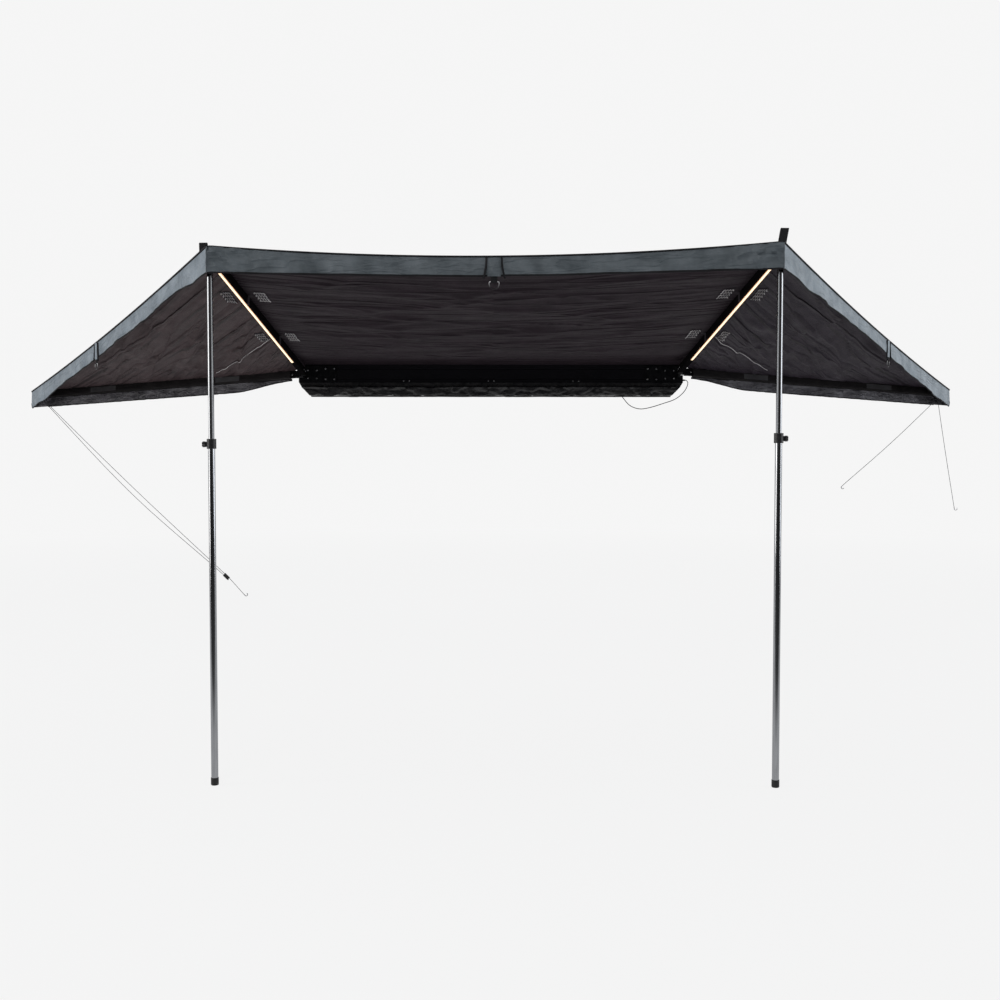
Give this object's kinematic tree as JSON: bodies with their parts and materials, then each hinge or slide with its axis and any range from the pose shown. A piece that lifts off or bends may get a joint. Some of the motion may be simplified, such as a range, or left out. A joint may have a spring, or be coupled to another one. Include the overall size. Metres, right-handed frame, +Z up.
{
  "type": "vehicle side awning",
  "caption": "Folding side awning for a vehicle roof rack: canvas roof on hinged arms with telescopic poles, light strips, guy ropes and a travel bag.",
  "frame": {"origin": "middle of the underside of the centre rack bracket's foot", "axes": "+X along the backing plate to the right as pictured, +Y towards the vehicle, +Z up"},
  "size_m": [5.855, 2.8689, 2.3374],
  "materials": {
    "black_aluminium": "satin black",
    "pole_aluminium": "gloss black",
    "black_steel": "satin black powder coat",
    "bright_steel": "zinc plated",
    "roof_cloth": "coated canvas",
    "skirt_cloth": "coated canvas",
    "webbing": "woven webbing",
    "bag_cover": "coated soft cover",
    "black_plastic": "moulded",
    "foot_rubber": "matt",
    "light_strip": "translucent diffuser",
    "cord": "braided cord",
    "cable_jacket": "matt cable jacket"
  },
  "bodies": {
    "mounting": {"backing_plate": "black_aluminium", "hub_bracket_left": "black_steel", "hub_bracket_right": "black_steel", "hinge_pin_left": "bright_steel", "hinge_pin_right": "bright_steel", "rack_bracket_left": "black_steel", "rack_bracket_centre": "black_steel", "rack_bracket_right": "black_steel", "travel_bag": "bag_cover", "roof_centre": "roof_cloth", "led_lead": "cable_jacket", "led_lead_coil": "cable_jacket", "led_plug": "black_plastic"},
    "hem": {"front_valance": "skirt_cloth", "front_tab": "skirt_cloth"},
    "front_ring": {"front_d_ring": "bright_steel"},
    "front_arm_left": {"front_arm_left": "black_aluminium", "front_knuckle_left": "black_steel", "pole_clevis_left": "black_steel", "led_strip_left": "light_strip", "roof_wing_left": "roof_cloth", "side_valance_left": "skirt_cloth", "corner_loop_left": "webbing"},
    "side_arm_left": {"side_arm_left": "black_aluminium", "side_knuckle_left": "black_steel", "tip_cap_left": "black_plastic", "side_sleeve_left": "skirt_cloth", "guy_rope_left_main": "cord", "guy_rope_left_return": "cord", "rope_slider": "black_plastic", "rope_hook_left": "bright_steel"},
    "pole_left": {"pole_upper_left": "pole_aluminium"},
    "pole_slide_left": {"pole_lower_left": "pole_aluminium", "pole_collar_left": "black_plastic", "pole_foot_left": "foot_rubber"},
    "knob_left": {"pole_knob_left": "black_plastic"},
    "wing_edge_left": {"side_left_tab": "skirt_cloth"},
    "ring_left": {"side_left_d_ring": "bright_steel"},
    "front_arm_right": {"front_arm_right": "black_aluminium", "front_knuckle_right": "black_steel", "pole_clevis_right": "black_steel", "led_strip_right": "light_strip", "roof_wing_right": "roof_cloth", "side_valance_right": "skirt_cloth", "corner_loop_right": "webbing"},
    "side_arm_right": {"side_arm_right": "black_aluminium", "side_knuckle_right": "black_steel", "tip_cap_right": "black_plastic", "side_sleeve_right": "skirt_cloth", "guy_rope_right_inner": "cord", "guy_rope_right_outer": "cord", "rope_hook_right_inner": "bright_steel", "rope_hook_right_outer": "bright_steel"},
    "pole_right": {"pole_upper_right": "pole_aluminium"},
    "pole_slide_right": {"pole_lower_right": "pole_aluminium", "pole_collar_right": "black_plastic", "pole_foot_right": "foot_rubber"},
    "knob_right": {"pole_knob_right": "black_plastic"},
    "wing_edge_right": {"side_right_tab": "skirt_cloth"},
    "ring_right": {"side_right_d_ring": "bright_steel"}
  },
  "joints": [
    {"name": "fold_left", "type": "hinge", "parent": "mounting", "child": "front_arm_left", "pos_m": [-1.1105, -0.11982, 0.06102], "axis": [0, 0.1719, 0.9851], "range_deg": [0, 92.5], "deforming": ["roof_wing_left", "side_valance_left", "side_left_tab"]},
    {"name": "side_fold_left", "type": "hinge", "parent": "front_arm_left", "child": "side_arm_left", "pos_m": [-1.1105, -0.11982, 0.06102], "axis": [0, 0.1719, 0.9851], "range_deg": [0, 105.7]},
    {"name": "pole_swing_left", "type": "hinge", "parent": "front_arm_left", "child": "pole_left", "pos_m": [-1.18869, -2.26407, 0.3916], "axis": [0.999, -0.0443, 0], "range_deg": [0, 80.1]},
    {"name": "pole_extend_left", "type": "slide", "parent": "pole_left", "child": "pole_slide_left", "axis": [0, 0, 1], "range_m": [0, 0.62]},
    {"name": "knob_turn_left", "type": "hinge", "parent": "pole_slide_left", "child": "knob_left", "pos_m": [-1.18869, -2.26407, -0.352], "axis": [-0.999, 0.0443, 0], "range_deg": [-360, 0]},
    {"name": "wing_edge_left", "type": "hinge", "parent": "front_arm_left", "child": "wing_edge_left", "pos_m": [-1.1105, -0.11982, 0.06102], "axis": [0, 0.1719, 0.9851], "range_deg": [0, 51.1]},
    {"name": "ring_swing_left", "type": "hinge", "parent": "wing_edge_left", "child": "ring_left", "pos_m": [-2.12227, -0.7446, 0.0797], "axis": [0.5209, -0.8536, 0], "range_deg": [-60, 60]},
    {"name": "fold_right", "type": "hinge", "parent": "mounting", "child": "front_arm_right", "pos_m": [1.1105, -0.18582, 0.07254], "axis": [0, -0.1719, -0.9851], "range_deg": [0, 92.5], "deforming": ["roof_wing_right", "side_valance_right", "side_right_tab", "roof_centre", "front_valance", "front_tab"]},
    {"name": "side_fold_right", "type": "hinge", "parent": "front_arm_right", "child": "side_arm_right", "pos_m": [1.1105, -0.18582, 0.07254], "axis": [0, -0.1719, -0.9851], "range_deg": [0, 105.7]},
    {"name": "pole_swing_right", "type": "hinge", "parent": "front_arm_right", "child": "pole_right", "pos_m": [1.18869, -2.33007, 0.40312], "axis": [0.999, 0.0443, 0], "range_deg": [0, 80.1]},
    {"name": "pole_extend_right", "type": "slide", "parent": "pole_right", "child": "pole_slide_right", "axis": [0, 0, 1], "range_m": [0, 0.62]},
    {"name": "knob_turn_right", "type": "hinge", "parent": "pole_slide_right", "child": "knob_right", "pos_m": [1.18869, -2.33007, -0.328], "axis": [0.999, 0.0443, 0], "range_deg": [-360, 0]},
    {"name": "wing_edge_right", "type": "hinge", "parent": "front_arm_right", "child": "wing_edge_right", "pos_m": [1.1105, -0.18582, 0.07254], "axis": [0, -0.1719, -0.9851], "range_deg": [0, 51.1]},
    {"name": "ring_swing_right", "type": "hinge", "parent": "wing_edge_right", "child": "ring_right", "pos_m": [2.12227, -0.8106, 0.09121], "axis": [0.5209, 0.8536, 0], "range_deg": [-60, 60]},
    {"name": "hem_slide", "type": "slide", "parent": "mounting", "child": "hem", "axis": [0, 0.9851, -0.1719], "range_m": [0, 2.08]},
    {"name": "ring_swing_front", "type": "hinge", "parent": "hem", "child": "front_ring", "pos_m": [0, -2.30906, 0.32371], "axis": [1, 0, 0], "range_deg": [-60, 60]}
  ],
  "couplings": [
    {"joint": "side_fold_left", "follows": "fold_left", "ratio": 1.1427},
    {"joint": "pole_swing_left", "follows": "fold_left", "ratio": 0.86594},
    {"joint": "pole_extend_left", "follows": "fold_left", "m_per_rad": 0.38403},
    {"joint": "wing_edge_left", "follows": "fold_left", "ratio": 0.55243},
    {"joint": "side_fold_right", "follows": "fold_right", "ratio": 1.1427},
    {"joint": "pole_swing_right", "follows": "fold_right", "ratio": 0.86594},
    {"joint": "pole_extend_right", "follows": "fold_right", "m_per_rad": 0.38403},
    {"joint": "wing_edge_right", "follows": "fold_right", "ratio": 0.55243},
    {"joint": "hem_slide", "follows": "fold_right", "m_per_rad": 1.2884}
  ]
}
